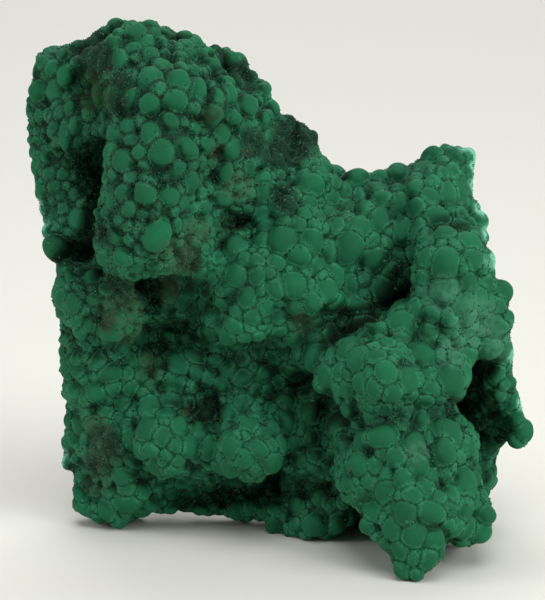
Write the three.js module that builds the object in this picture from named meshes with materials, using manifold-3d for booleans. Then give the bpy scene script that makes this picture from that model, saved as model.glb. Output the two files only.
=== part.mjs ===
// A botryoidal malachite specimen: one leaning crust of mineral, covered in rounded lobes, that stands on its
// lower edge. It grew as one piece, so it is one mesh. Millimetres, +Z up, the botryoidal face towards -Y.
//
// The crust is laid out in its own face frame: x runs across the face, h up the face, and d is how far something
// stands proud of it. The lobes and the crust are signed distances, melted together where they meet, and
// MarchingCubes draws the surface of them all. The face is then leaned back and its feet are cut level.

import * as THREE from 'three';
import { MarchingCubes } from 'three/addons/objects/MarchingCubes.js';
import { mergeVertices } from 'three/addons/utils/BufferGeometryUtils.js';
import Module from 'manifold-3d';

// Driving dimensions.
const leanDegrees = 8; // how far the face leans back from upright
const crustFront = -3; // d of the crust's front between the lobes
const crustBack = -15; // d of its back
const crustEdge = 3; // radius of the crust's rounded edge
const rimDepth = -8; // d of the balls that make the rim, and their radius
const rimRadius = 7.5;
const melt = 2.2; // how far two neighbours melt together
const stemRadius = 0.72; // a lobe grows out of the crust on a stem; this is its root, as a share of the lobe
const footDepth = 0.8; // how much of each foot is worn flat

// The cube that the surface is drawn in, in the face frame, and its cells along each side.
const cubeSide = 190;
const cubeMiddle = new THREE.Vector3(0, 81, 14);
const cubeCells = 40;

const malachite = new THREE.MeshStandardMaterial({ color: 0x1f6b4b, roughness: 0.8, metalness: 0 });

// The crust's outline, which the rim then rounds: x, h.
const crustOutline = [
  [-62, 134], [-48, 147], [-27, 142], [-12, 124], [4, 112], [27, 98], [53, 107],
  [59, 78], [66, 58], [62, 40], [60, 12], [44, 6], [20, 6], [-10, 14], [-40, 12],
  [-55, 14], [-57, 34], [-59, 66], [-63, 88], [-66, 112],
];

// Every lobe below is x, h, d and its radius.

// The rim, from the top of the tower down the right side, then down the left side.
const rim = [
  [-47, 149], [-37, 149], [-27, 146], [-17, 140], [-10, 130], [0, 120], [8, 114], [18, 105],
  [28, 102], [38, 105], [46, 108], [53, 111], [55, 100], [57, 89], [60, 79], [63, 70], [63, 60],
  [-57, 143], [-66, 137], [-70, 129], [-70, 119], [-68, 108], [-66, 98], [-60, 77], [-61, 66],
  [-60, 55], [-60, 43], [-59, 32], [-58, 21],
].map(([x, h]) => [x, h, rimDepth, rimRadius]);

// The tower: a thick column of lobes on the left half, with a hollow under it.
const tower = [
  [-41, 142, 9, 13], [-34, 130, 16, 15], [-36, 115, 19, 16], [-37, 101, 20, 16.5], [-41, 91, 20, 14],
  [-27, 91, 16, 12.5], [-20, 125, 7, 13], [-17, 108, 8, 13], [-50, 128, 5, 8], [-26, 140, 4, 11],
];

// The recessed field left of the tower, with one ball that stands out of the left edge.
const leftField = [
  [-61, 125, 2, 9], [-64, 108, -3, 9], [-58, 98, -3, 10], [-66, 87, -2, 6.5], [-60, 139, -3, 9],
];

// The saddle between the tower and the right peak, and the broad lobe that hangs from it.
const saddle = [
  [-8, 118, 3, 11], [-2, 103, 3, 11], [10, 106, 0, 10], [4, 93, 7, 13], [-7, 80, 13, 13], [-9, 69, 14, 11.5],
  [7, 75, 8, 12.5], [18, 88, 1, 11.5], [22, 72, -2, 11.5], [9, 60, 3, 11],
];

// The right peak and the heavy lobe below it.
const rightLobes = [
  [30, 95, -1, 10.5], [47, 102, 0, 10.5], [50, 91, 3, 11], [53, 81, 14, 14], [52, 69, 16, 12.5],
  [61, 72, 12, 10], [62, 62, 15, 8.5],
];

// The two clusters at the lower right, which stand furthest forward.
const lowerRight = [
  [33, 51, 28, 13.5], [22, 52, 20, 11], [47, 52, 23, 11], [38, 60, 16, 12], [28, 43, 28, 9], [44, 43, 28, 9],
  [36, 33, 30, 11], [28, 22, 31, 11.5], [45, 24, 36, 11], [42, 14, 40, 11.5], [53, 31, 28, 9], [56, 13, 32, 9.5],
  [33, 11, 37, 9.5], [58, 9, 28, 7], [30, 30, 16, 14], [48, 22, 20, 14],
];

// The lower left field, with the two balls that stand out of it.
const lowerLeft = [
  [-56, 73, 6, 12.5], [-47, 68, 10, 9.5], [-53, 49, -1, 12.5], [-40, 43, -3, 12.5], [-23, 50, -4, 12.5],
  [-9, 47, -2, 13.5], [8, 34, 3, 11.5], [-31, 29, 9, 11.5], [-7, 28, 17, 11], [-20, 25, 8, 9],
  [13, 19, 5, 11], [-50, 27, 0, 11], [-43, 18, 2, 9], [-8, 30, 8, 11],
];

// The finger of crust that hangs at the right edge, and the edge below it.
const finger = [
  [69, 52, 6, 6.5], [71, 45, 8, 5.5], [73, 38, 10, 5.5], [74, 32, 11, 5.5], [65, 45, 0, 8], [66, 24, 0, 5],
  [66, 16, -1, 5], [62, 32, -6, 7],
];

// The lower edge: the left foot, the arch between the feet and the lobe that hangs in it.
const lowerEdge = [
  [-56, 9, -7, 9], [-47, 9, -6, 8.5], [-35, 12, -6, 8], [-22, 13, -5, 8], [-9, 11, -3, 8], [4, 8, 2, 8],
  [14, 7, 8, 8], [22, 8, 6, 8],
];

// The back: low swellings, and the thick root at the lower right that the specimen leans on.
const back = [
  [-44, 124, -10, 15], [-30, 100, -8, 18], [-50, 62, -8, 14], [-22, 70, -6, 18], [12, 84, -7, 15],
  [42, 84, -8, 15], [30, 56, -8, 19], [-34, 34, -9, 15], [4, 36, -10, 17], [44, 30, -12, 18],
  [48, 12, -16, 14], [26, 14, -14, 14],
];

// The front foot, low under the clusters.
const frontFoot = [[42, 3, 43, 9], [38, 5, 40, 7]];

const lobes = [
  rim, tower, leftField, saddle, rightLobes, lowerRight, lowerLeft, finger, lowerEdge, back, frontFoot,
].flat();

// How far a point of the face frame is outside the crust; negative inside it.
const outline = new THREE.Shape();
outline.setFromPoints(crustOutline.map(([x, h]) => new THREE.Vector2(x, h)));
const corners = outline.getPoints();

function crustDistance(x, h, d) {
  let nearest = Infinity;
  let inside = false;
  corners.forEach((a, i) => {
    const b = corners[(i + 1) % corners.length];
    const run = b.clone().sub(a);
    const along = ((x - a.x) * run.x + (h - a.y) * run.y) / run.lengthSq();
    const t = THREE.MathUtils.clamp(along, 0, 1);
    nearest = Math.min(nearest, Math.hypot(x - a.x - run.x * t, h - a.y - run.y * t));
    if (a.y > h !== b.y > h && x < a.x + (run.x * (h - a.y)) / run.y) inside = !inside;
  });
  const across = (inside ? -nearest : nearest) + crustEdge;
  const through = Math.abs(d - (crustFront + crustBack) / 2) - (crustFront - crustBack) / 2 + crustEdge;
  return Math.hypot(Math.max(across, 0), Math.max(through, 0)) + Math.min(Math.max(across, through), 0) - crustEdge;
}

// The smaller of two distances, melted where they are nearly the same.
function meltedMinimum(a, b) {
  const share = Math.max(melt - Math.abs(a - b), 0) / melt;
  return Math.min(a, b) - (share * share * melt) / 4;
}

// A lobe is a ball on a stem that widens from the middle of the crust up to it.
function lobeDistance([lobeX, lobeH, lobeD, radius], x, h, d) {
  const root = Math.min(rimDepth, lobeD);
  const level = THREE.MathUtils.clamp(d, root, lobeD);
  const grown = lobeD > root ? (level - root) / (lobeD - root) : 1;
  return Math.hypot(x - lobeX, h - lobeH, d - level) - radius * THREE.MathUtils.lerp(stemRadius, 1, grown);
}

function distance(x, h, d) {
  let least = crustDistance(x, h, d);
  for (const lobe of lobes) {
    const toLobe = lobeDistance(lobe, x, h, d);
    if (toLobe < least + melt) least = meltedMinimum(least, toLobe);
  }
  return least;
}

// The surface of the whole crust, still flat, in the face frame.
function drawSurface() {
  const field = new MarchingCubes(cubeCells, malachite, false, false, 30000);
  const cell = cubeSide / cubeCells;
  const least = 0.12 * cell; // a corner nearer to the surface than this would make a sliver
  field.isolation = 0;
  for (let k = 0; k < cubeCells; k += 1) {
    for (let j = 0; j < cubeCells; j += 1) {
      for (let i = 0; i < cubeCells; i += 1) {
        const [x, h, d] = [i, j, k].map((n, axis) => cubeMiddle.getComponent(axis) + (n - cubeCells / 2) * cell);
        const depth = -distance(x, h, d);
        field.setCell(i, j, k, Math.abs(depth) < least ? least * (depth < 0 ? -1 : 1) : depth);
      }
    }
  }
  field.update();
  const surface = new THREE.BufferGeometry();
  surface.setAttribute('position', new THREE.BufferAttribute(field.positionArray.slice(0, field.count * 3), 3));
  surface.scale(cubeSide / 2, cubeSide / 2, cubeSide / 2);
  surface.translate(cubeMiddle.x, cubeMiddle.y, cubeMiddle.z);
  return surface;
}

const wasm = await Module();
wasm.setup();

function solidOf(geometry) {
  const bare = geometry.clone();
  bare.deleteAttribute('normal');
  bare.deleteAttribute('uv');
  const shared = mergeVertices(bare, 1e-3);
  const mesh = new wasm.Mesh({
    numProp: 3,
    vertProperties: shared.attributes.position.array,
    triVerts: new Uint32Array(shared.index.array),
  });
  mesh.merge(); // neighbouring cells work out a shared corner with slightly different rounding
  return new wasm.Manifold(mesh);
}

function geometryOf(solid) {
  const made = solid.getMesh();
  const geometry = new THREE.BufferGeometry();
  geometry.setAttribute('position', new THREE.BufferAttribute(made.vertProperties, 3));
  geometry.setIndex(new THREE.BufferAttribute(made.triVerts, 1));
  geometry.computeVertexNormals();
  return geometry;
}

// Leaned back, let down until the feet are footDepth under the floor, and cut level there.
const crust = drawSurface();
crust.rotateX(THREE.MathUtils.degToRad(90 - leanDegrees));
crust.translate(0, 0, -footDepth);
const floor = new THREE.BoxGeometry(400, 400, 60);
floor.translate(0, 0, -30);
const level = solidOf(crust).subtract(solidOf(floor));
const [skin] = level.decompose().sort((a, b) => b.volume() - a.volume()); // without bubbles sealed in between lobes
const standing = geometryOf(skin);

// The origin is on the floor, under the middle of the specimen.
standing.computeBoundingBox();
const middle = standing.boundingBox.getCenter(new THREE.Vector3());
standing.translate(-middle.x, -middle.y, 0);

const specimen = new THREE.Mesh(standing, malachite);
specimen.name = 'malachite';

const group = new THREE.Group();
group.add(specimen);
export default group;
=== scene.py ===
# A botryoidal malachite specimen: a thick leaning crust covered in velvety green balls, standing on its feet.
import math
import bmesh
import bpy
import numpy as np
from mathutils import Matrix, Vector
from mathutils.bvhtree import BVHTree
from mathutils.kdtree import KDTree


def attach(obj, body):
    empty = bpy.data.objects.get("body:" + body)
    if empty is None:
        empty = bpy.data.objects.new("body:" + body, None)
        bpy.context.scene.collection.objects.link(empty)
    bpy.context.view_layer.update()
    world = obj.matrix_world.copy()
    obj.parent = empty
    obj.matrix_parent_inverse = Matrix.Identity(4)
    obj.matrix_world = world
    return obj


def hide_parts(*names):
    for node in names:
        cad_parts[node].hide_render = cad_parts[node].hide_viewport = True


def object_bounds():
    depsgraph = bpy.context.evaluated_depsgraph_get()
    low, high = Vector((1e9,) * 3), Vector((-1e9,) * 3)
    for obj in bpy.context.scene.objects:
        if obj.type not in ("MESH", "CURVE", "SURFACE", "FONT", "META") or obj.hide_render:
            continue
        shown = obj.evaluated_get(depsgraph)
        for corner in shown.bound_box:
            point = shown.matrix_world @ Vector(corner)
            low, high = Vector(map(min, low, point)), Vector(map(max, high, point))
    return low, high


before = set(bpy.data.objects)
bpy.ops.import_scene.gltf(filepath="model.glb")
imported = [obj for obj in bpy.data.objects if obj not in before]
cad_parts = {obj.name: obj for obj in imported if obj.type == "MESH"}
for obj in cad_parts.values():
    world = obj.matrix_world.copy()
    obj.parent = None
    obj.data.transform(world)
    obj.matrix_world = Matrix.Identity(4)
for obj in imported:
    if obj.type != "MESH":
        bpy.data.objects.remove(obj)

mm = 0.001
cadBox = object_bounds()
dice = np.random.default_rng(20)


def linear(hexColour):  # an sRGB hex value as the linear colour that a shader wants
    parts = [int(hexColour[i:i + 2], 16) / 255 for i in (0, 2, 4)]
    return [p / 12.92 if p <= 0.04045 else ((p + 0.055) / 1.055) ** 2.4 for p in parts] + [1]


def addObject(name, mesh):
    made = bpy.data.objects.new(name, mesh)
    bpy.context.scene.collection.objects.link(made)
    return made


def applied(obj, name):  # the object's mesh with its modifiers applied; the object itself goes
    bpy.context.view_layer.update()
    shape = obj.evaluated_get(bpy.context.evaluated_depsgraph_get())
    mesh = bpy.data.meshes.new_from_object(shape)
    mesh.name = name
    old = obj.data
    bpy.data.objects.remove(obj)
    bpy.data.meshes.remove(old)
    return mesh


# ---- camera: places on the face are across and up, on a sheet through the specimen that faces the camera

view = {"distance": 800 * mm, "elevation": 14, "aside": -1.5 * mm, "height": 73 * mm, "lens": 161.3}

tilt = math.radians(view["elevation"])
target = Vector(((cadBox[0][0] + cadBox[1][0]) / 2 + view["aside"], 0, view["height"]))
lookAlong = Vector((0, math.cos(tilt), -math.sin(tilt)))
upSheet = Vector((0, math.sin(tilt), math.cos(tilt)))
eye = target - lookAlong * view["distance"]

lens = bpy.data.cameras.new("camera")
lens.lens = view["lens"]
lens.clip_start = 0.05
lens.clip_end = 20
camera = addObject("camera", lens)
camera.location = eye
camera.rotation_euler = (math.radians(90 - view["elevation"]), 0, 0)
bpy.context.scene.camera = camera


def sheetPoint(across, up):
    return target + Vector((1, 0, 0)) * across * mm + upSheet * up * mm


def onSheet(points):  # where points seen by the camera fall on the sheet, in mm
    away = points - np.array(eye)
    depth = away @ np.array(lookAlong)
    scale = view["distance"] / depth / mm
    return away[:, 0] * scale, (away @ np.array(upSheet)) * scale


# ---- core: the crust itself, a softened copy of the plain solid, a little inside it

core = {"voxel": 1.4 * mm, "smoothing": 9, "inset": 1.9 * mm}

# Hollows, where the crust sinks between its lobes: across, up, half width, half height and depth in mm.
hollows = [
    (-25, -5, 12, 7, 9), (-56, 11, 5, 4, 5), (-51, 27, 3.5, 15, 7), (-17, 17, 3, 5, 4), (3, 46, 4, 9, 4),
    (38, 3, 1.8, 8, 5), (19, -33, 5, 4, 6), (36, -36, 6, 1.8, 5), (51, -34, 4, 3, 6), (56.5, -31, 3.5, 4.5, 4),
    (-16, -42, 2, 7, 5), (-6, -55, 22, 3.5, 8), (-38, -50, 4, 3, 4), (12, -26, 5, 5, 4), (-36, -18, 3, 5, 3),
    (-15, 58, 10, 14, -6), (17, 0, 12, 17, -6), (23, 22, 9, 12, -3), (4, 14, 10, 8, -2), (32, 8, 8, 12, -9), (41, 20, 6, 7, -3),
    (68, -27, 7, 12, -6), (-42, -64, 13, 6, -5), (53, 4, 8, 9, -2),
    (33, -24, 7, 7, -5), (20, -24, 6, 7, -2), (34, -42, 5, 5, -3), (39, -50, 8, 8, -4), (53, -42, 5, 5, -2),
    (54, -60, 6, 5, -3), (64, -66, 4.5, 5, -2), (46.5, -46, 2, 4, 5), (49, -54, 3, 2.5, 5), (43, -61.5, 9, 1.8, 4),
    (25, -41, 4, 4, 4), (26.5, -30, 2, 6, 4), (42, -30, 2.2, 6, 4.5), (59, -60, 1.6, 5, 4), (30, -62, 2, 5, 3),
]

# Stretches of the outline that move: across, up, half width, half height, and how far to the right and up in mm.
nudges = [
    (-76, 53, 10, 9, 1.6, 0), (-66, 74, 10, 7, -4.5, 2.5), (-2, 65, 11, 11, 4.5, 4), (-42, 84, 12, 5, 0, 1.8),
    (-20, -58, 20, 6, 0, -4), (7, -64, 11, 6, 0, -4.5), (40, -82, 8, 5, 0, -1), (58, 43, 7, 8, 3, 1),
    (61, 24, 5, 7, 3.8, -2.5), (11, 52, 7, 7, 2.5, 3), (-63, -64, 6, 4, 4, 0), (-63, -46, 5, 5, -2, 0),
    (73, -25, 9, 8, -3.2, 0), (58, -72, 4.5, 4.5, 0, -5), (72, -7, 6, 5, 4, 0), (26, -68, 4, 5, 0, 3),
    (69, -47, 3, 3, 0, 2), (38, -81, 5, 5, 0, -2), (48, 46, 6, 4, 0, 1.5), (-72, 55, 4, 12, -1.6, 0), (-33, -66, 16, 4, 0, -2),
    (78, -33, 4, 3, -1.5, -1), (-34, 82, 6, 5, 0, -1),
]


def makeCore():
    bm = bmesh.new()
    bm.from_mesh(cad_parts["malachite"].data)
    bmesh.ops.remove_doubles(bm, verts=bm.verts, dist=0.001 * mm)
    mesh = bpy.data.meshes.new("core")
    bm.to_mesh(mesh)
    bm.free()
    obj = addObject("core", mesh)
    remesh = obj.modifiers.new("even", "REMESH")
    remesh.mode = "VOXEL"
    remesh.voxel_size = core["voxel"]
    smooth = obj.modifiers.new("soft", "SMOOTH")
    smooth.factor = 0.5
    smooth.iterations = core["smoothing"]
    inset = obj.modifiers.new("inset", "DISPLACE")
    inset.mid_level = 0
    inset.strength = -core["inset"]
    return applied(obj, "core")


def coordinates(mesh, what):
    values = np.empty(len(mesh.vertices) * 3)
    mesh.vertices.foreach_get(what, values)
    return values.reshape(-1, 3)


def triangles(mesh):
    mesh.calc_loop_triangles()
    corners = np.empty(len(mesh.loop_triangles) * 3, dtype=np.int32)
    mesh.loop_triangles.foreach_get("vertices", corners)
    return corners.reshape(-1, 3)


coreMesh = makeCore()
coreVerts = coordinates(coreMesh, "co")
coreNormals = coordinates(coreMesh, "normal")
coreCount = len(coreVerts)
coreTris = triangles(coreMesh)
coreAcross, coreUp = onSheet(coreVerts)
outwards = np.clip(-coreNormals @ np.array(lookAlong) * 2, 0, 1)


def humps(places, column):  # the sum of soft humps on the sheet, each as high as its row's column says
    return sum(p[column] * np.exp(-((coreAcross - p[0]) / p[2]) ** 2 - ((coreUp - p[1]) / p[3]) ** 2) for p in places)


coreVerts += np.array(lookAlong) * (np.clip(humps(hollows, 4), -11, 9) * outwards)[:, None] * mm
coreVerts[:, 0] += humps(nudges, 4) * mm
coreVerts += np.array(upSheet) * humps(nudges, 5)[:, None] * mm
coreTree = BVHTree.FromPolygons(coreVerts.tolist(), coreTris.tolist())
print("core:", coreCount, "vertices")

# ---- balls: what grows where. A habit's size is the half width of its balls in mm; spread and height are the
# ball's own half width and half height, and lift is how far its top stands above the core, all as shares of that.

habits = {
    "balls": {"size": (2.1, 3.4), "spread": 1.12, "height": 1.06, "lift": 1.0, "gap": 0.87, "least": 0.7},
    "beads": {"size": (1.6, 2.7), "spread": 1.12, "height": 1.06, "lift": 0.98, "gap": 0.86, "least": 0.7},
    "cobbles": {"size": (2.3, 3.5), "spread": 1.25, "height": 1.15, "lift": 0.85, "gap": 0.8, "least": 0.7},
    "plate": {"size": (2.6, 4.0), "spread": 1.28, "height": 1.05, "lift": 0.66, "gap": 0.8, "least": 0.7},
    "knobs": {"size": (2.5, 3.9), "spread": 1.26, "height": 1.15, "lift": 0.88, "gap": 0.8, "least": 0.7},
    "grains": {"size": (1.0, 2.0), "spread": 1.1, "height": 1.0, "lift": 0.8, "gap": 0.84, "least": 0.5},
    "rim": {"size": (1.3, 2.4), "spread": 1.1, "height": 0.95, "lift": 0.6, "gap": 0.86, "least": 0.7},
    "broken": {"size": (2.2, 4.0), "spread": 1.25, "height": 0.4, "lift": 0.15, "gap": 0.8, "least": 0.7},
}

# Patches of the face: across, up, reach in mm, habit.
patches = [
    (-36, 62, 16, "balls"), (-36, 42, 16, "balls"), (-38, 25, 16, "balls"), (-18, 62, 13, "balls"),
    (-15, 45, 13, "balls"), (-15, 30, 10, "beads"), (-52, 76, 12, "balls"), (-66, 68, 8, "balls"),
    (-62, 50, 11, "beads"), (-62, 30, 12, "beads"), (-55, 62, 6, "grains"), (8, 48, 7, "grains"),
    (8, 30, 10, "beads"), (20, 32, 10, "cobbles"), (-2, 12, 15, "cobbles"), (14, 8, 12, "cobbles"),
    (32, 22, 12, "plate"), (48, 34, 14, "plate"), (28, 4, 9, "plate"), (56, 4, 13, "cobbles"),
    (62, -8, 10, "knobs"), (-50, 3, 13, "beads"), (-28, 12, 9, "beads"), (-30, -8, 12, "beads"),
    (-10, -14, 12, "cobbles"), (-48, -25, 14, "cobbles"), (-30, -30, 14, "cobbles"), (-8, -28, 12, "cobbles"),
    (-30, -44, 12, "cobbles"), (-6, -43, 11, "cobbles"), (-54, -50, 10, "beads"), (-48, -60, 8, "cobbles"),
    (-20, -60, 10, "grains"), (0, -62, 10, "beads"), (15, -62, 9, "beads"), (12, -40, 9, "cobbles"),
    (22, -16, 12, "knobs"), (34, -24, 14, "knobs"), (50, -22, 10, "knobs"), (22, -48, 10, "beads"),
    (40, -46, 14, "knobs"), (56, -50, 9, "knobs"), (42, -66, 12, "knobs"), (62, -64, 8, "knobs"),
    (58, -34, 8, "beads"), (70, -28, 8, "beads"), (72, -40, 7, "knobs"), (5, -52, 8, "beads"),
]

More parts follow.
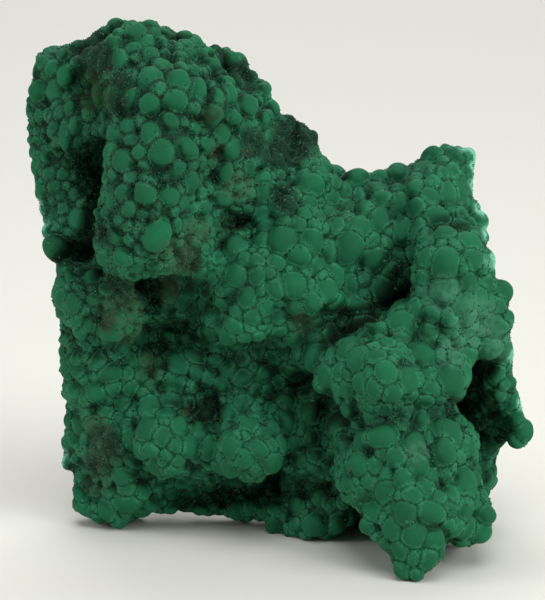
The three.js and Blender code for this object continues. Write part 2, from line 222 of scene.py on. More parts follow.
# Balls placed one by one, the ones that catch the eye: across, up, half width and, where it isn't round, how much
# taller than wide.
placed = {
    "tower, upper half": [
        (-46.1, 81.8, 3.0), (-42.6, 81.2, 2.7), (-49.8, 79.2, 2.5), (-36.2, 82.5, 3.2), (-57.9, 75.1, 2.8),
        (-62.3, 72.9, 2.3, 1.2), (-46.9, 75.3, 2.8), (-67.7, 70.2, 2.6), (-71.2, 68.3, 2.4), (-67.0, 67.4, 2.3),
        (-69.0, 62.4, 3.4), (-41.2, 74.6, 2.6), (-40.6, 72.4, 2.5), (-36.7, 72.7, 2.9), (-32.7, 72.9, 2.4),
        (-35.8, 78.8, 2.3), (-36.4, 65.9, 3.5, 1.1), (-28.8, 65.0, 3.2, 1.1), (-23.5, 66.7, 2.6, 1.1),
        (-29.4, 59.3, 3.0), (-36.0, 57.5, 2.9), (-30.1, 52.7, 2.9), (-42.6, 52.5, 2.7), (-36.4, 49.2, 3.2),
        (-32.9, 44.0, 3.9), (-25.3, 44.6, 3.2), (-48.5, 66.7, 1.8), (-51.1, 61.5, 3.3, 1.2), (-55.5, 58.2, 2.0),
        (-60.1, 56.5, 2.2), (-68.4, 55.1, 2.2), (-71.7, 51.1, 1.7), (-61.4, 49.2, 1.9, 2.2), (-57.7, 47.9, 2.0, 1.8),
        (-54.8, 51.2, 1.7, 1.6), (-52.0, 52.1, 1.9, 1.9), (-66.0, 45.1, 1.9), (-69.9, 47.3, 1.9),
        (-71.4, 43.5, 1.7, 1.2), (-60.1, 43.3, 2.2), (-53.3, 42.0, 2.3), (-67.5, 42.0, 2.0), (-47.2, 43.1, 2.9, 1.2),
        (-44.3, 41.4, 3.2, 1.2), (-38.2, 40.5, 1.8), (-66.6, 37.4, 2.1), (-63.1, 37.4, 1.9), (-57.0, 38.3, 1.6),
        (-62.0, 40.3, 1.6), (-48.5, 38.5, 2.0), (-42.6, 35.7, 2.2), (-37.3, 35.2, 2.8), (-31.8, 36.8, 1.6),
        (-25.3, 35.2, 2.8),
    ],
    "right shoulder of the tower": [
        (-26.4, 77.6, 3.0), (-22.0, 78.5, 2.3), (-19.1, 73.9, 2.1), (-24.4, 72.3, 2.3), (-17.0, 73.4, 2.0),
        (-13.2, 70.6, 3.0), (-8.4, 69.4, 2.6), (-15.6, 67.3, 2.2), (-18.3, 63.2, 2.1), (-12.8, 61.4, 2.7),
        (-8.0, 57.9, 3.0), (-3.2, 61.4, 2.6), (-6.7, 65.8, 2.4), (-23.7, 57.9, 2.4), (-18.1, 55.7, 3.2),
        (-11.9, 54.4, 2.8), (-23.5, 51.6, 2.2), (-16.1, 49.1, 2.8), (-7.5, 40.0, 2.7, 1.3), (-14.1, 38.2, 2.7),
        (-20.9, 38.6, 2.0), (-15.0, 30.8, 3.4), (-21.1, 27.7, 3.2), (-6.7, 32.1, 2.0), (-3.2, 36.0, 2.2),
        (10.8, 33.8, 3.5), (2.0, 57.5, 2.6), (-2.8, 53.5, 2.6), (15.4, 40.4, 2.3), (18.0, 38.6, 2.3),
        (3.0, 33.0, 2.2), (-6.3, 53.1, 1.6),
    ],
    "tower, lower half, and the left edge": [
        (-65.1, 33.3, 1.9), (-58.8, 31.5, 2.2), (-67.3, 30.2, 2.0), (-62.3, 27.2, 1.9), (-57.0, 23.9, 3.0),
        (-63.1, 22.1, 1.8), (-64.2, 15.4, 4.6), (-59.4, 12.5, 2.2), (-48.2, 26.7, 2.9), (-51.3, 25.8, 2.2),
        (-44.5, 31.8, 2.7), (-47.8, 32.4, 1.9), (-42.8, 27.4, 2.1), (-45.0, 24.5, 2.0), (-38.0, 31.5, 3.0),
        (-31.0, 30.9, 2.9), (-34.7, 28.0, 1.7), (-34.5, 19.7, 4.2), (-29.2, 26.3, 1.9), (-24.4, 22.6, 2.7),
        (-39.5, 21.3, 1.9, 1.8), (-39.3, 25.2, 1.6), (-46.5, 18.6, 2.5), (-42.1, 18.2, 1.9, 1.3), (-50.7, 21.2, 2.2),
        (-51.3, 16.4, 2.0), (-44.1, 12.3, 2.9), (-39.5, 12.3, 2.0), (-36.0, 14.2, 1.5), (-32.1, 14.2, 1.7),
        (-27.0, 19.5, 1.5), (-53.3, 7.0, 3.3), (-58.3, 3.7, 1.6), (-59.4, -1.5, 2.7), (-57.0, 0.9, 1.6),
        (-52.8, -0.2, 2.6), (-63.3, 3.7, 1.8), (-62.7, 7.7, 1.8), (-61.8, -7.6, 1.7), (-54.2, -7.6, 2.2),
        (-52.6, -11.6, 2.0), (-57.0, -12.0, 1.6), (-62.0, -11.6, 2.0), (-59.0, -14.6, 2.4), (-48.9, -21.6, 3.3),
        (-57.4, -22.1, 2.4), (-61.4, -18.6, 2.1), (-55.5, -16.8, 2.0), (-43.0, -18.1, 2.9), (-36.7, 4.6, 2.0),
        (-31.0, 3.3, 3.8), (-32.7, -1.9, 3.0), (-41.9, -0.6, 2.4), (-43.7, 3.7, 2.2), (-47.2, -5.9, 3.5),
        (-41.0, -8.5, 2.2), (-31.0, -17.7, 2.1), (-23.1, -16.4, 3.0), (-48.9, -16.4, 2.0),
    ],
    "saddle and the broad lobe under it": [
        (-9.3, 22.5, 2.4), (-2.5, 22.1, 2.5), (-3.8, 17.1, 3.2), (2.5, 17.7, 3.2), (7.7, 13.4, 3.2),
        (1.6, 11.0, 2.8), (-15.0, 18.4, 2.6), (-18.5, 19.3, 1.8), (-15.4, 12.5, 2.6), (12.6, 10.5, 2.4),
        (16.9, 14.5, 3.2), (12.1, 21.5, 2.4), (15.2, 21.0, 2.0), (7.3, 22.3, 2.2), (2.9, 22.5, 1.9),
        (-11.5, 7.9, 2.8), (-4.9, 7.0, 2.6), (-0.4, 6.8, 2.0), (6.4, 4.4, 3.6), (16.3, 3.5, 3.3),
        (11.0, 4.8, 1.8), (-17.6, 3.5, 2.6), (-12.8, 4.8, 2.0), (-7.8, 0.7, 2.9, 1.25), (-2.5, -0.9, 2.6, 1.3),
        (7.5, -2.2, 2.7), (-14.6, -0.9, 3.0), (2.1, -0.9, 1.8), (-11.5, -7.4, 3.0), (-7.3, -7.4, 2.0),
        (-8.4, -10.9, 2.2), (5.6, -6.6, 2.4), (13.0, -6.6, 3.0), (17.2, -4.4, 2.0), (2.5, -11.8, 2.2),
        (12.6, -11.8, 2.6), (-3.4, -7.4, 1.6), (-4.1, -11.6, 1.8), (7.7, -15.7, 2.4), (0.7, -16.2, 2.6),
        (-17.0, -17.5, 2.4), (-8.4, -17.5, 2.6, 1.2), (-12.6, -20.5, 2.6), (-2.8, -22.3, 3.0), (-22.7, -22.1, 2.2),
        (-33.6, -22.7, 2.4), (-21.3, -13.1, 2.0),
    ],
    "lower left field and the ledge under it": [
        (-58.3, -27.1, 2.4), (-62.3, -26.7, 1.9), (-52.0, -27.7, 2.9), (-54.6, -32.8, 2.6), (-59.0, -32.3, 2.0),
        (-42.6, -26.2, 3.0), (-44.3, -30.2, 2.8), (-49.4, -33.2, 2.4), (-38.6, -28.0, 2.0), (-58.8, -41.1, 3.0),
        (-49.1, -37.2, 2.2), (-43.0, -37.2, 2.4), (-38.2, -35.4, 2.2), (-30.8, -30.6, 3.8), (-25.1, -26.2, 2.2),
        (-18.5, -27.7, 1.7), (-22.2, -29.3, 1.9), (-34.7, -28.8, 1.8), (-19.8, -35.8, 3.8), (-28.1, -37.6, 2.9),
        (-33.0, -40.7, 2.9), (-24.6, -43.7, 3.4), (-35.6, -44.2, 2.6), (-31.2, -45.9, 2.2), (-41.7, -47.7, 2.6),
        (-22.5, -47.2, 2.0), (-44.3, -52.5, 2.9), (-43.5, -56.0, 3.0), (-48.3, -61.7, 2.9, 1.3), (-52.4, -61.7, 2.0),
        (-56.8, -57.5, 2.6), (-51.8, -56.6, 2.2), (-36.2, -60.4, 2.7), (-29.9, -56.4, 2.4), (-23.8, -56.6, 2.2),
        (-36.9, -54.2, 2.0), (-26.2, -51.2, 2.0), (-58.1, -47.2, 1.9), (-30.3, -62.1, 2.6), (-22.0, -62.5, 2.2),
        (-18.1, -61.2, 1.8), (-11.1, -62.1, 2.9), (-6.3, -61.7, 2.4), (1.6, -62.5, 2.9), (-0.6, -56.4, 2.6),
        (4.2, -58.6, 2.4), (-5.8, -26.7, 2.4), (-1.9, -27.1, 2.0), (-14.1, -33.2, 1.6), (-12.0, -30.2, 1.8),
    ],
    "round ball beside the clusters": [
        (-4.9, -35.4, 2.6), (-10.2, -41.5, 2.2), (-2.8, -39.8, 2.6), (-8.0, -40.7, 1.8), (-12.0, -44.2, 3.2),
        (-8.9, -47.7, 2.6), (-4.1, -45.0, 2.8), (-4.9, -50.7, 2.4), (2.5, -48.5, 2.4), (-13.7, -38.5, 1.9),
        (3.4, -36.7, 3.4), (5.6, -42.4, 2.8),
    ],
    "right plate and the heavy lobe": [
        (18.7, 38.8, 2.8), (24.8, 34.9, 4.6), (31.8, 35.5, 3.4), (37.3, 37.9, 3.6), (27.4, 27.4, 2.9),
        (32.3, 29.2, 3.0), (21.1, 27.4, 2.8), (37.1, 32.2, 2.6), (37.1, 27.9, 3.2), (42.3, 33.1, 2.8),
        (47.1, 42.3, 3.3), (48.0, 37.9, 2.5), (53.0, 38.1, 2.4, 1.2), (54.4, 42.5, 2.6), (57.4, 37.0, 2.3, 1.2),
        (50.9, 46.2, 2.6), (56.8, 32.7, 2.9, 1.2), (46.5, 30.5, 2.8, 1.3), (51.7, 31.8, 2.6, 1.3), (48.2, 23.7, 4.0),
        (55.7, 25.2, 2.9), (60.9, 23.5, 3.4), (38.6, 20.9, 3.6), (31.6, 24.4, 3.2), (25.0, 21.3, 3.9),
        (22.2, 15.6, 3.9), (29.6, 17.6, 2.8), (30.3, 12.1, 4.2), (45.6, 18.7, 2.3), (51.7, 18.4, 3.4),
        (60.0, 18.2, 3.4), (42.5, 13.9, 3.2), (41.7, 7.3, 3.0), (51.7, 10.8, 4.2), (59.6, 11.7, 3.2),
        (51.7, 3.4, 3.9), (63.1, 5.1, 3.0), (57.9, 4.7, 2.6), (68.8, 2.5, 3.6), (22.8, 5.5, 3.0),
        (27.4, 6.8, 2.6), (32.0, 2.9, 4.0), (25.0, -1.5, 3.8), (45.2, 2.9, 2.6), (42.5, -3.7, 2.6, 1.5),
        (47.8, -4.5, 2.6), (53.0, -4.1, 2.5, 1.4), (58.5, -3.7, 2.4, 1.4), (62.5, -3.2, 1.9), (67.0, -1.9, 2.6),
        (38.2, 8.6, 2.2), (33.8, 17.4, 2.4), (64.6, -14.4, 3.6), (59.1, -12.2, 2.6), (65.9, -7.4, 3.6),
        (55.0, -11.8, 2.4), (46.7, -10.9, 3.0),
    ],
    "upper cluster and the finger": [
        (27.0, -9.1, 4.2), (20.9, -7.0, 2.4), (22.6, -15.3, 3.8), (16.9, -17.4, 2.2, 1.8), (20.0, -21.4, 2.4),
        (15.4, -24.9, 2.8), (27.4, -24.9, 3.4, 1.1), (30.9, -17.9, 3.0), (34.0, -21.8, 3.0), (37.1, -16.6, 2.4),
        (39.7, -23.6, 3.4, 1.15), (22.6, -26.6, 2.4, 1.3), (35.3, -27.5, 3.0), (32.7, -31.9, 2.8), (39.7, -33.2, 2.8),
        (27.4, -31.4, 2.2), (43.6, -16.1, 4.2), (51.9, -24.0, 4.2), (46.7, -26.6, 3.0), (46.7, -21.4, 2.2),
        (45.4, -30.6, 2.4), (49.3, -29.3, 2.2), (53.7, -17.4, 3.0), (49.3, -16.6, 2.0), (38.4, -11.8, 2.8),
        (31.8, -11.8, 2.8), (59.4, -24.0, 3.4), (61.6, -20.0, 1.8), (66.8, -21.8, 2.8), (67.2, -27.5, 2.4),
        (67.8, -33.6, 2.8), (75.2, -38.6, 2.9), (69.4, -38.3, 2.9), (72.3, -41.3, 2.7), (72.6, -34.8, 2.3),
        (64.6, -24.2, 2.4), (70.6, -24.4, 1.9), (71.0, -30.2, 2.2), (64.4, -30.4, 2.1),
    ],
    "lower cluster and the front foot": [
        (44.0, -37.1, 3.1), (32.7, -40.6, 4.2), (20.4, -38.0, 2.8), (25.7, -37.6, 2.2), (36.6, -36.7, 1.4),
        (41.4, -42.4, 3.4), (37.1, -46.3, 2.8, 1.3), (33.1, -45.9, 2.4), (45.4, -47.2, 3.4), (51.9, -40.2, 4.4),
        (55.0, -46.8, 2.6), (58.5, -47.2, 2.4, 1.3), (18.2, -45.0, 2.4), (22.6, -44.1, 2.8, 1.2), (26.5, -49.0, 3.0),
        (39.7, -53.3, 3.0), (34.4, -52.0, 2.4), (47.6, -52.5, 3.2), (51.1, -51.6, 2.6), (34.4, -57.3, 3.6),
        (41.9, -58.1, 2.6), (56.7, -55.5, 3.8, 1.3), (62.9, -56.8, 2.4), (63.7, -52.0, 2.2, 1.3), (63.7, -44.1, 3.0),
        (46.7, -63.0, 3.6), (51.5, -61.6, 2.8), (36.2, -61.6, 3.0), (21.3, -60.8, 2.4), (22.6, -54.6, 2.6),
        (27.0, -57.3, 2.4), (15.6, -52.5, 2.2), (19.1, -66.0, 3.2), (12.5, -66.5, 3.2), (29.2, -67.3, 2.6),
        (36.6, -67.8, 3.2), (42.3, -70.4, 3.4), (57.2, -67.8, 3.2), (62.0, -68.6, 3.0), (63.7, -63.8, 3.0),
        (51.1, -66.0, 2.6), (47.6, -72.1, 3.0), (38.8, -74.8, 3.2), (39.2, -79.8, 2.9), (43.6, -80.9, 2.6), (46.2, -76.9, 3.0), (42.6, -76.4, 2.2),
        (48.9, -75.2, 2.4), (31.4, -70.4, 2.0), (55.4, -72.6, 2.4),
    ],
}

cover = {"tries": 70000, "passes": (1.0, 0.72, 0.5), "jitter": 0.12, "turn": 12, "stretch": 0.1, "sides": 3,
         "squareness": 2.5}  # 2 makes round balls; more makes them flatter on top, with steeper sides


def habitOf(point, normal):  # the habit that grows at a place on the core
    away = np.dot(normal, lookAlong)
    if away > -0.3:
        return habits["broken" if away > 0.65 else "rim"]
    across, up = onSheet(point[None])
    reach = [math.hypot(across[0] - a, up[0] - u) / r for a, u, r, _ in patches]
    return habits[patches[reach.index(min(reach))][3]]


balls = []  # each ball's place, half width, half height, normal and stretch direction


def addBall(place, normal, half, habit, tall=1.0, spread=9):
    wobble = Vector(dice.normal(0, math.radians(cover["turn"]), 3))
    normal = (normal + wobble.cross(normal)).normalized()
    side = Vector((1, 0, 0)) - normal * normal.x
    side = side.normalized() if side.length > 0.1 else normal.orthogonal().normalized()
    frameUp = normal.cross(side)
    if frameUp.z < 0:
        frameUp = -frameUp
    wide = half * min(habit["spread"], spread) * (1 + dice.normal(0, cover["jitter"] / 2))
    high = half * habit["height"] * (1 + dice.normal(0, cover["jitter"]))
    centre = place + normal * (half * habit["lift"] * (1 + dice.normal(0, cover["jitter"])) - high)
    turn = Matrix((side, frameUp, normal)).transposed()
    balls.append((centre, turn, (wide, wide * tall, high), place, half))


def cellOf(point):
    return tuple(int(c // (9 * mm)) for c in point)


grid = {}


def roomFor(place, half, gap):
    near = cellOf(place)
    for i in (-1, 0, 1):
        for j in (-1, 0, 1):
            for k in (-1, 0, 1):
                for other, otherHalf in grid.get((near[0] + i, near[1] + j, near[2] + k), ()):
                    if (other - place).length < gap * (half + otherHalf):
                        return False
    return True


def takeRoom(place, half):
    grid.setdefault(cellOf(place), []).append((place, half))


for group in placed.values():
    for across, up, half, *tall in group:
        hit, normal, _, _ = coreTree.ray_cast(eye, (sheetPoint(across, up) - eye).normalized())
        if hit is None:  # just off the core's edge: take the nearest place on it
            hit, normal, _, _ = coreTree.find_nearest(sheetPoint(across, up))
        normal = (normal - lookAlong * 1.1).normalized()
        addBall(hit, normal, half * mm, habitOf(np.array(hit), -lookAlong), tall[0] if tall else 1, 1.2)
        takeRoom(hit, half * mm)
byHand = len(balls)

corners = coreVerts[coreTris]
doubleAreas = np.linalg.norm(np.cross(corners[:, 1] - corners[:, 0], corners[:, 2] - corners[:, 0]), axis=1)
picks = dice.choice(len(coreTris), cover["tries"], p=doubleAreas / doubleAreas.sum())
shares = dice.dirichlet((1, 1, 1), cover["tries"])
spots = (corners[picks] * shares[:, :, None]).sum(axis=1)
facing = (coreNormals[coreTris[picks]] * shares[:, :, None]).sum(axis=1)
sizes = dice.random(cover["tries"]) ** 1.6
spotHabits = [habitOf(p, n) for p, n in zip(spots, facing)]
for scale in cover["passes"]:
    for spot, normal, size, habit in zip(spots, facing, sizes, spotHabits):
        least, most = habit["size"]
        half = (most - (most - least) * size) * scale * mm
        place = Vector(spot)
        normal = Vector(normal).normalized()
        if scale >= habit["least"] and roomFor(place, half, habit["gap"]):
            addBall(place, normal, half, habit, 1 + abs(dice.normal(0, cover["stretch"])))
            takeRoom(place, half)
print("balls:", byHand, "by hand,", len(balls), "in all")


# ---- skin: the core and the balls grown together, redrawn as one fine surface

skin = {"voxel": 0.5 * mm, "smoothing": 1, "rearKept": 0.14, "triangles": 188000}


def copies(shape, faces, places, turns, halves):  # one small shape, turned and stretched to stand at each place
    verts = np.einsum("nij,nvj->nvi", turns, shape[None] * halves[:, None]) + places[:, None]
    each = faces[None] + (np.arange(len(places)) * len(shape))[:, None, None]
    return verts.reshape(-1, 3), each.reshape(-1, faces.shape[1])


def reachOf(points):  # how far points are from a unit ball's middle, counted so that its whole surface is at 1
    n = cover["squareness"]
    return (np.hypot(points[..., 0], points[..., 1]) ** n + np.abs(points[..., 2]) ** n) ** (1 / n)


def makeGrown():
    bm = bmesh.new()
    bmesh.ops.create_icosphere(bm, subdivisions=cover["sides"], radius=1)
    ball = np.array([v.co for v in bm.verts])
    ball /= reachOf(ball)[:, None]
    ballFaces = np.array([[v.index for v in f.verts] for f in bm.faces])
    bm.free()
    centres, turns, halves = (np.array([b[i] for b in balls]) for i in range(3))
    verts, faces = copies(ball, ballFaces, centres, turns, halves)
    mesh = bpy.data.meshes.new("grown")
    mesh.from_pydata(np.concatenate((coreVerts, verts)), [], np.concatenate((coreTris, faces + coreCount)))
    obj = addObject("grown", mesh)
    remesh = obj.modifiers.new("fine", "REMESH")
    remesh.mode = "VOXEL"
    remesh.voxel_size = skin["voxel"]
    smooth = obj.modifiers.new("soft", "SMOOTH")
    smooth.factor = 0.5
    smooth.iterations = skin["smoothing"]
    return applied(obj, "grown")


def thinned(mesh):  # fewer triangles, most of them on the side that shows its balls
    obj = addObject("thinned", mesh)
    rear = obj.vertex_groups.new(name="rear")
    normals = coordinates(mesh, "normal")
    behind = np.flatnonzero(normals @ np.array(lookAlong) > 0.25)
    rear.add(behind.tolist(), 1, "REPLACE")
    share = len(behind) / len(normals)
    first = obj.modifiers.new("thin the rear", "DECIMATE")
    first.vertex_group = "rear"
    first.ratio = 1 - share * (1 - skin["rearKept"])
    second = obj.modifiers.new("thin", "DECIMATE")
    second.ratio = skin["triangles"] / (2 * len(mesh.polygons) * first.ratio)
    return applied(obj, "skin")


skinMesh = thinned(makeGrown())
skinVerts = coordinates(skinMesh, "co")
skinNormals = coordinates(skinMesh, "normal")
across, up = onSheet(skinVerts)
print("skin:", len(triangles(skinMesh)), "triangles")


# ---- marks: how far each point of the skin is from the nearest seam between two balls, and what stains it

def nearestBalls():  # each point's two nearest balls, as shares of their sizes, and how wide the nearest is
    centres = KDTree(len(balls))
    for i, ball in enumerate(balls):
        centres.insert(ball[0], i)
    centres.balance()
    found = np.array([[i for _, i, _ in centres.find_n(v, 7)] for v in skinVerts])
    middles = np.array([b[0] for b in balls])
    turns = np.array([b[1] for b in balls])
    halves = np.array([b[2] for b in balls])
    away = skinVerts[:, None, :] - middles[found]
    local = np.einsum("vnij,vni->vnj", turns[found], away) / halves[found]
    reach = reachOf(local)
    order = np.argsort(reach, axis=1)
    reach = np.take_along_axis(reach, order, axis=1)
    nearest = np.take_along_axis(found, order, axis=1)[:, 0]
    return reach[:, 0], reach[:, 1], nearest, halves[nearest].mean(axis=1)


def mark(name, values):
    layer = skinMesh.attributes.new(name, "FLOAT", "POINT")
    layer.data.foreach_set("value", np.asarray(values, dtype=np.float32))


def ramp(values, low, high):
    share = np.clip((values - low) / (high - low), 0, 1)
    return share * share * (3 - 2 * share)


first, second, nearest, width = nearestBalls()
mark("seam", np.clip((second - first) * width / mm / 2, 0, 3))
mark("bare", ramp(first, 1.04, 1.22))
mark("tone", dice.random(len(balls))[nearest])

# Stains and druse on the face: across, up and reach in mm.
stains = {
    "olive": [(-51, 61.5, 4.5), (-53, 66, 3), (-55.5, 58.5, 3)],
    "rust": [(-18, 55.5, 3.6), (-17, 44, 2.6), (-48.5, 68.5, 1.6), (-49.5, -9, 2), (-8, 44, 1.6), (-25, -33, 2)],
    "dust": [(-28, 13, 7), (-22, 20, 5), (-45, -2, 8), (-42, -9, 5), (-32, 3, 5), (-50, -46, 6), (-52, -38, 5),
             (-52, -54, 5), (-10, 34, 5), (9, -7, 4), (-36, -20, 5)],
    "druse": [(-53, 72, 7), (-54, 78, 4), (-45, 65, 4), (-46, 59, 4), (8, 50, 9), (2, 44, 6), (-6, 47, 5),
              (-51, 19, 4), (-8, 68, 4), (-50, -6, 4), (-50, -42, 6), (-52, -48, 5), (4, 30, 5), (-25, 12, 5)],
    "gritty": [(-36, 62, 17), (-36, 42, 17), (-38, 25, 15), (-18, 60, 14), (-15, 42, 12), (-62, 58, 13), (-60, 35, 13),
               (-52, 2, 11)],
    "bloom": [(60, -6, 9), (50, 2, 7), (66, -13, 6), (53, -16, 5), (43, -45, 4)],
    "mint": [(60, 42, 6), (61, 36, 4), (63, 28, 3.5), (65, 20, 3), (66, 12, 3), (-71, 28, 3), (-68, 22, 3),
             (-63, -47, 3), (-62, -53, 3), (72, -17, 2.5), (75, -31, 2.5)],
}
marks = {}
for name, places in stains.items():
    fromPlaces = [np.hypot(across - a, up - u) / r for a, u, r in places]
    marks[name] = 1 - ramp(np.min(fromPlaces, axis=0), 0.55, 1.15)
    if name == "mint":  # only where the crust is broken off, at its outline
        marks[name] *= ramp(skinNormals @ np.array(lookAlong), -0.92, -0.6)
    mark(name, marks[name])
broken = ramp(skinNormals @ np.array(lookAlong), 0.3, 0.65)
mark("broken", broken)


# ---- growth: the balls aren't perfect, so the finished skin is warped a little, and its back is rough

growth = [(16.0, 0.35)]  # mm from crest to crest, and how far the skin moves
roughBack = [(13.0, 0.9), (5.0, 0.35), (2.6, 0.14)]


def ripples(points, size, amount):  # a smooth random shift for each point
    waves = dice.normal(0, 1, (14, 3))
    waves *= (2 * math.pi * dice.uniform(0.75, 1.3, 14) / (size * mm) / np.linalg.norm(waves, axis=1))[:, None]
    ways = dice.normal(0, amount * mm * 0.38, (14, 3))
    return np.sin(points @ waves.T + dice.uniform(0, 7, 14)) @ ways


still = skinVerts.copy()
for size, amount in growth:
    skinVerts += ripples(still, size, amount)
for size, amount in roughBack:
    skinVerts += skinNormals * (np.abs(ripples(still, size, amount)[:, :1]) * broken[:, None] - 0.2 * amount * mm)
floorLevel = cadBox[0][2]
skinVerts[:, 2] = np.maximum(skinVerts[:, 2], floorLevel)
skinMesh.vertices.foreach_set("co", skinVerts.ravel())
skinMesh.polygons.foreach_set("use_smooth", [True] * len(skinMesh.polygons))
skinMesh.update()

# how sheltered each point is: the share of rays from it that soon meet the skin again, evened out a little

shelter = {"rays": 16, "reach": 16 * mm, "evened": 1}


def sheltered():
    tris = triangles(skinMesh)
    tree = BVHTree.FromPolygons(skinVerts.tolist(), tris.tolist())
    rays = dice.normal(0, 1, (shelter["rays"], 3))
    rays /= np.linalg.norm(rays, axis=1)[:, None]
    normals = coordinates(skinMesh, "normal")
    starts = skinVerts + normals * 0.3 * mm
    blocked = np.zeros(len(skinVerts))
    for ray in rays:
        away = normals + ray * 0.97
        for i, (start, way) in enumerate(zip(starts.tolist(), away.tolist())):
            distance = tree.ray_cast(start, way, shelter["reach"])[3]
            if distance is not None:
                blocked[i] += 1 - 0.5 * distance / shelter["reach"]
    share = blocked / len(rays)
    edges = np.empty(len(skinMesh.edges) * 2, dtype=np.int32)
    skinMesh.edges.foreach_get("vertices", edges)
    a, b = edges.reshape(-1, 2).T
    meets = np.bincount(a, minlength=len(share)) + np.bincount(b, minlength=len(share))
    for _ in range(shelter["evened"]):
        around = np.bincount(a, share[b], len(share)) + np.bincount(b, share[a], len(share))
        share = 0.4 * share + 0.6 * around / meets
    return share


shade = sheltered()
mark("shelter", shade)
print("shelter:", np.percentile(shade, (5, 25, 50, 75, 95)).round(2))

# ---- druse: fine crystal grains that fill the creases and crust the sheltered hollows

druse = {"grains": 24800, "size": (0.17, 0.4), "tall": 1.35, "sides": 5, "rear": 0.15}


def makeDruse():
    bm = bmesh.new()
    bmesh.ops.create_cone(bm, cap_ends=True, segments=druse["sides"], radius1=1, radius2=0, depth=1.6)
    bmesh.ops.triangulate(bm, faces=bm.faces)
    shape = np.array([v.co for v in bm.verts])
    faces = np.array([[v.index for v in f.verts] for f in bm.faces])
    bm.free()
    tris = triangles(skinMesh)
    corners = skinVerts[tris]
    areas = np.linalg.norm(np.cross(corners[:, 1] - corners[:, 0], corners[:, 2] - corners[:, 0]), axis=1)
    seamOf = np.clip((second - first) * width / mm / 2, 0, 3)
    wanted = 0.012 + 1.0 * (1 - ramp(seamOf, 0.08, 0.5)) + 0.5 * ramp(first, 1.02, 1.2)
    wanted += 0.8 * marks["gritty"] * (1 - ramp(seamOf, 0.3, 1.0))
    wanted += 0.8 * marks["druse"] + 0.5 * marks["dust"]
    wanted *= np.where(skinNormals @ np.array(lookAlong) > 0.2, druse["rear"], 1)
    wanted *= np.where(skinVerts[:, 2] < floorLevel + 0.6 * mm, 0, 1)
    weights = areas * wanted[tris].mean(axis=1)
    picks = dice.choice(len(tris), druse["grains"], p=weights / weights.sum())
    shares = dice.dirichlet((1, 1, 1), len(picks))
    places = (corners[picks] * shares[:, :, None]).sum(axis=1)
    least, most = druse["size"]
    sizes = (least + (most - least) * dice.random(len(picks)) ** 1.5) * mm
    up = coordinates(skinMesh, "normal")[tris[picks]].mean(axis=1) + dice.normal(0, 0.3, (len(picks), 3))
    up /= np.linalg.norm(up, axis=1)[:, None]
    side = np.cross(up, dice.normal(0, 1, (len(picks), 3)))
    side /= np.linalg.norm(side, axis=1)[:, None]
    turns = np.stack((side, np.cross(up, side), up), axis=2)
    halves = np.stack((sizes, sizes, sizes * druse["tall"]), axis=1)
    verts, faces = copies(shape, faces, places + up * sizes[:, None] * 0.35, turns, halves)
    verts[:, 2] = np.maximum(verts[:, 2], floorLevel)
    mesh = bpy.data.meshes.new("druse")
    mesh.from_pydata(verts, [], faces)
    layer = mesh.attributes.new("grain", "FLOAT", "POINT")
    layer.data.foreach_set("value", np.repeat(dice.random(len(picks)), len(shape)).astype(np.float32))
    return mesh


# ---- malachite: velvety green, matt, each ball a little different, with a painted pale highlight ring beside its seam and painted shade in it

stone = {
    "deep": "04341b", "green": "074b2a", "light": "0d6640",  # from ball to ball
    "seam": "03150c", "paintedRimHighlight": "4aa67c", "crust": "1f4a32",  # between the balls; seam is painted shade in the creases and sheltered hollows and also the dark of the grain, ring is a painted rim highlight
    "olive": "2a3d12", "rust": "3a2a18", "dust": "4a6446", "bloom": "6ba98c", "mint": "8ad8b9",
    "broken": "12442c", "fibres": "2d7a52", "iron": "33251a",  # the back
    "worn": "2f9467",  # painted highlight on the tops that stand proud
    "grainDark": "052414", "grainLight": "4c8a63",
    "roughness": 0.8, "sheen": 0.17, "sheenTint": "66cc9c",
}


def addNode(tree, kind, settings=None, links=None):
    node = tree.nodes.new(kind)
    for name, value in (settings or {}).items():
        if isinstance(name, str) and hasattr(node, name):
            setattr(node, name, value)
        else:
            node.inputs[name].default_value = value
    for name, source in (links or {}).items():
        tree.links.new(source, node.inputs[name])
    return node


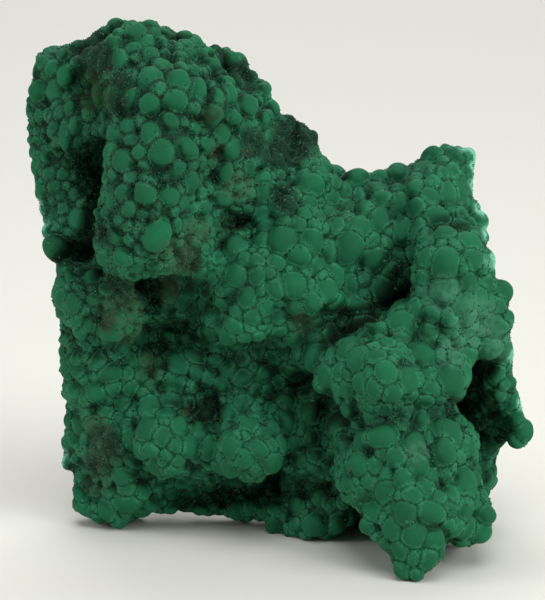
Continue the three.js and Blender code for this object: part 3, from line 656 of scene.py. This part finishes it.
def malachiteVelvet():  # malachite, grown botryoidal: fine fibres end at the surface, so it is matt like velvet
    material = bpy.data.materials.new("malachite velvety botryoidal")
    material.use_nodes = True
    tree = material.node_tree
    tree.nodes.clear()
    place = addNode(tree, "ShaderNodeTexCoord").outputs["Object"]

    def noiseOf(sizeMm, detail=3.0, rough=0.55):
        settings = {"Scale": 1 / (sizeMm * mm), "Detail": detail, "Roughness": rough}
        return addNode(tree, "ShaderNodeTexNoise", settings, {"Vector": place}).outputs["Fac"]

    def attribute(name):
        return addNode(tree, "ShaderNodeAttribute", {"attribute_name": name}).outputs["Fac"]

    def between(value, low, high, start=0.0, end=1.0):
        settings = {"interpolation_type": "SMOOTHSTEP", 1: low, 2: high, 3: start, 4: end}
        return addNode(tree, "ShaderNodeMapRange", settings, {0: value}).outputs[0]

    def maths(operation, a, b):
        settings = {"operation": operation}
        links = {}
        for i, value in enumerate((a, b)):
            if isinstance(value, (int, float)):
                settings[i] = value
            else:
                links[i] = value
        return addNode(tree, "ShaderNodeMath", settings, links).outputs[0]

    def mix(share, a, b):
        settings = {"data_type": "RGBA"}
        links = {0: share}
        for i, value in ((6, a), (7, b)):
            if isinstance(value, str):
                settings[i] = linear(value)
            else:
                links[i] = value
        if isinstance(share, float):
            settings[0] = links.pop(0)
        return addNode(tree, "ShaderNodeMix", settings, links).outputs[2]

    seam = attribute("seam")
    ragged = maths("ADD", seam, maths("MULTIPLY", maths("SUBTRACT", noiseOf(0.9), 0.5), 0.35))
    tone = maths("ADD", maths("MULTIPLY", attribute("tone"), 0.3), maths("MULTIPLY", noiseOf(7), 0.85))
    colour = mix(between(tone, 0.2, 0.6), stone["deep"], stone["green"])
    colour = mix(between(tone, 0.5, 0.95), colour, stone["light"])

    # fine grain all over
    colour = mix(between(noiseOf(0.6, 2.0, 0.7), 0.45, 0.75, 0.0, 0.4), colour, stone["seam"])

    # painted shade: the more sheltered, the darker
    paintedShade = between(attribute("shelter"), 0.08, 0.5)
    colour = mix(maths("MULTIPLY", paintedShade, 0.93), colour, stone["seam"])
    # painted highlight: the least sheltered tops are lighter
    proud = between(attribute("shelter"), 0.02, 0.2, 1.0, 0.0)
    colour = mix(maths("MULTIPLY", proud, 0.32), colour, stone["worn"])

    # a thin pale ring beside each seam, a painted rim highlight, with pale specks on it
    speck = between(noiseOf(0.45, 2.0, 0.7), 0.42, 0.66)
    paintedRimHighlight = maths("MULTIPLY", between(ragged, 0.1, 0.25), between(ragged, 0.35, 0.9, 1.0, 0.0))
    patchy = maths("MULTIPLY", paintedRimHighlight, between(noiseOf(3.5), 0.35, 0.65, 0.1, 0.5))
    colour = mix(maths("MULTIPLY", patchy, maths("ADD", speck, 0.3)), colour, stone["paintedRimHighlight"])

    # painted shade darkening the seam itself, and bare crust between balls that stand apart
    depth = between(ragged, -0.02, 0.18, 1.0, 0.0)
    colour = mix(maths("MULTIPLY", depth, 0.7), colour, stone["seam"])
    grit = maths("MULTIPLY", attribute("gritty"), between(ragged, 0.1, 0.6, 0.7, 0.0))
    bare = maths("MAXIMUM", maths("MAXIMUM", attribute("bare"), attribute("druse")), grit)
    crusty = mix(speck, stone["seam"], stone["crust"])
    colour = mix(maths("MULTIPLY", bare, 0.85), colour, crusty)

    # stains
    for name, strength in (("olive", 0.75), ("rust", 0.6), ("dust", 0.5), ("bloom", 0.32)):
        patch = maths("MULTIPLY", attribute(name), between(noiseOf(2.2), 0.25, 0.65))
        colour = mix(maths("MULTIPLY", patch, strength), colour, stone[name])

    # the broken back and the broken edges: dark crust, paler where the fibres are bruised, browned by iron
    back = mix(between(noiseOf(6, 4.0, 0.65), 0.42, 0.68), stone["broken"], stone["fibres"])
    back = mix(maths("MULTIPLY", between(noiseOf(17), 0.5, 0.66), 0.75), back, stone["iron"])
    back = mix(maths("MULTIPLY", between(noiseOf(0.8, 3.0, 0.7), 0.5, 0.7), 0.4), back, stone["seam"])
    colour = mix(maths("MULTIPLY", attribute("broken"), 0.9), colour, back)
    edge = maths("MULTIPLY", attribute("mint"), between(noiseOf(3.2, 5.0, 0.7), 0.36, 0.52))
    colour = mix(maths("MULTIPLY", edge, 0.85), colour, stone["mint"])

    # the fibre ends make a fine grain; the crust is coarser
    grain = maths("MULTIPLY", noiseOf(0.6, 2.0, 0.7), 0.14)
    coarse = maths("MULTIPLY", noiseOf(0.8, 3.0, 0.7), maths("MULTIPLY", maths("MAXIMUM", bare, depth), 0.5))
    height = maths("ADD", grain, coarse)
    bump = addNode(tree, "ShaderNodeBump", {"Strength": 0.7, "Distance": 0.6 * mm}, {"Height": height})
    settings = {
        "Roughness": stone["roughness"], "Diffuse Roughness": 0.5, "IOR": 1.6, "Specular IOR Level": 0.15,
        "Sheen Weight": stone["sheen"], "Sheen Roughness": 0.3, "Sheen Tint": linear(stone["sheenTint"]),
    }
    links = {"Base Color": colour, "Normal": bump.outputs["Normal"]}
    shader = addNode(tree, "ShaderNodeBsdfPrincipled", settings, links)
    addNode(tree, "ShaderNodeOutputMaterial", None, {"Surface": shader.outputs["BSDF"]})
    return material


def malachiteGrains():  # malachite, a druse of tiny crystals: each grain takes the light its own way
    material = bpy.data.materials.new("malachite fine druse")
    material.use_nodes = True
    tree = material.node_tree
    tone = addNode(tree, "ShaderNodeAttribute", {"attribute_name": "grain"})
    settings = {"data_type": "RGBA", 6: linear(stone["grainDark"]), 7: linear(stone["grainLight"])}
    curve = addNode(tree, "ShaderNodeMath", {"operation": "POWER", 1: 2.2}, {0: tone.outputs["Fac"]})
    colour = addNode(tree, "ShaderNodeMix", settings, {0: curve.outputs[0]})
    shader = tree.nodes["Principled BSDF"]
    shader.inputs["Roughness"].default_value = 0.7
    shader.inputs["Specular IOR Level"].default_value = 0.25
    shader.inputs["IOR"].default_value = 1.65
    tree.links.new(colour.outputs[2], shader.inputs["Base Color"])
    return material


crust = addObject("malachite_crust", skinMesh)
crust.data.materials.append(malachiteVelvet())
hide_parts("malachite")
grains = addObject("malachite_druse", makeDruse())
grains.data.materials.append(malachiteGrains())
for piece in (crust, grains):
    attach(piece, "root")
print("druse:", len(grains.data.polygons), "triangles")

# ---- studio: a pale floor, a big soft light from each side and the open room

studio = {"floor": "e9e8e0", "floorWidth": 12.0, "room": "fbfcf8", "roomStrength": 0.12}
lamps = {  # place in metres from the specimen, width, watts
    "key": ((0.15, -0.4, 1.2), 0.9, 7),
    "left": ((-1.0, -0.2, 0.5), 0.6, 3.9),
    "right": ((0.9, -0.5, 0.5), 0.6, 7),
    "back": ((0.0, 1.5, 1.8), 2.0, 34),
}


def addFloor():
    bm = bmesh.new()
    bmesh.ops.create_grid(bm, x_segments=1, y_segments=1, size=studio["floorWidth"] / 2)
    mesh = bpy.data.meshes.new("floor")
    bm.to_mesh(mesh)
    bm.free()
    material = bpy.data.materials.new("paper sweep, matt")  # photographic paper, uncoated, so no shine
    material.use_nodes = True
    shader = material.node_tree.nodes["Principled BSDF"]
    shader.inputs["Base Color"].default_value = linear(studio["floor"])
    shader.inputs["Roughness"].default_value = 0.9
    shader.inputs["Specular IOR Level"].default_value = 0.1
    mesh.materials.append(material)
    addObject("floor", mesh)


def addLamps():
    for name, (place, width, watts) in lamps.items():
        lamp = bpy.data.lights.new(name, "AREA")
        lamp.shape = "SQUARE"
        lamp.size = width
        lamp.energy = watts
        obj = addObject(name, lamp)
        obj.location = place
        obj.rotation_euler = (target - Vector(place)).to_track_quat("-Z", "Y").to_euler()


addFloor()
addLamps()
world = bpy.data.worlds.new("room")
world.use_nodes = True
world.node_tree.nodes["Background"].inputs["Color"].default_value = linear(studio["room"])
world.node_tree.nodes["Background"].inputs["Strength"].default_value = studio["roomStrength"]
bpy.context.scene.world = world
bpy.context.scene.view_settings.view_transform = "Standard"
